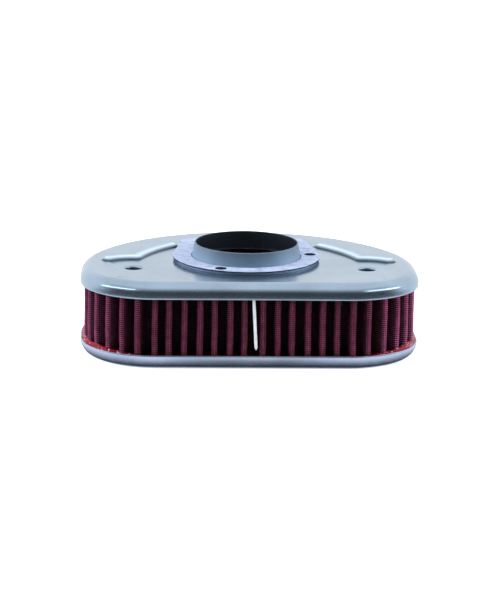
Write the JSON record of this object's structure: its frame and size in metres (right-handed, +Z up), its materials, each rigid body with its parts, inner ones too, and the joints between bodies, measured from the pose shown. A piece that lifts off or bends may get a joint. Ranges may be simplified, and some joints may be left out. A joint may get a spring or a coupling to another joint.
{
  "type": "panel air filter",
  "caption": "D-shaped pleated cotton air filter element between pressed steel plates, with a short round intake neck, flat gasket and breather holes.",
  "frame": {"origin": "under the middle of the D-shaped outline, on the plane the lower frame stands on", "axes": "+X along the long axis, -Y towards the straight front side, +Z up through the intake neck"},
  "size_m": [0.246, 0.18, 0.0758],
  "materials": {
    "zinc_plated_steel": "plated, semi-gloss",
    "neck_steel": "plated, satin",
    "frame_steel": "plated, satin",
    "gasket_sheet": "matt, pale faced sheet",
    "oiled_cotton": "woven, oiled",
    "screen_wire": "coated fine wire",
    "red_resin": "cast, glossy",
    "clip_white": "smooth"
  },
  "bodies": {
    "root": {"top_plate": "zinc_plated_steel", "intake_neck": "neck_steel", "neck_gasket": "gasket_sheet", "outer_screen": "screen_wire", "cotton_media": "oiled_cotton", "inner_screen": "screen_wire", "resin_top": "red_resin", "resin_bottom": "red_resin", "lower_frame": "frame_steel", "seam_clip": "clip_white"}
  },
  "joints": []
}
